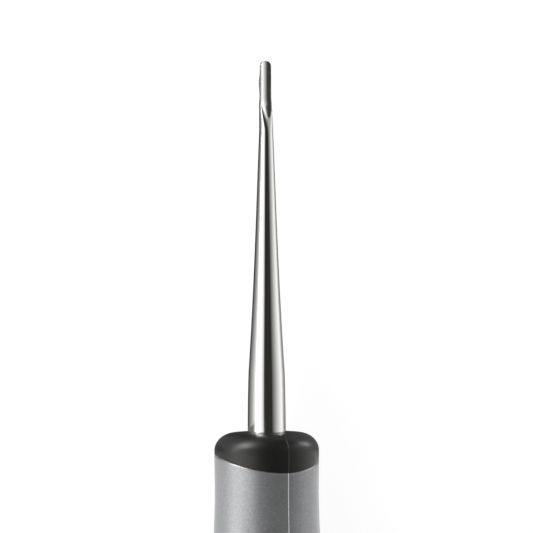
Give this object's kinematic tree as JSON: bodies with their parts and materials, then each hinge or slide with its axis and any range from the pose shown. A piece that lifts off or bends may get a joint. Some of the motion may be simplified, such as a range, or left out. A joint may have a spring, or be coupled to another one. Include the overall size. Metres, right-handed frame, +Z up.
{
  "type": "luxating elevator",
  "caption": "Dental luxating elevator: narrow fluted steel blade on a long tapered shank, in a moulded oval handle with a black nose and a satin grey body.",
  "frame": {"origin": "centre of the footprint, on the surface that the tool lies on", "axes": "+Y along the tool towards the blade's tip, +Z up on the side that the flute opens on"},
  "size_m": [0.0256, 0.1423, 0.0236],
  "materials": {
    "steel": "polished stainless steel",
    "black_nose": "satin black",
    "grey_grip": "satin grey with a fine metallic grain"
  },
  "bodies": {
    "root": {"blade_shank": "steel", "handle_head": "black_nose", "handle_body": "grey_grip"}
  },
  "joints": []
}
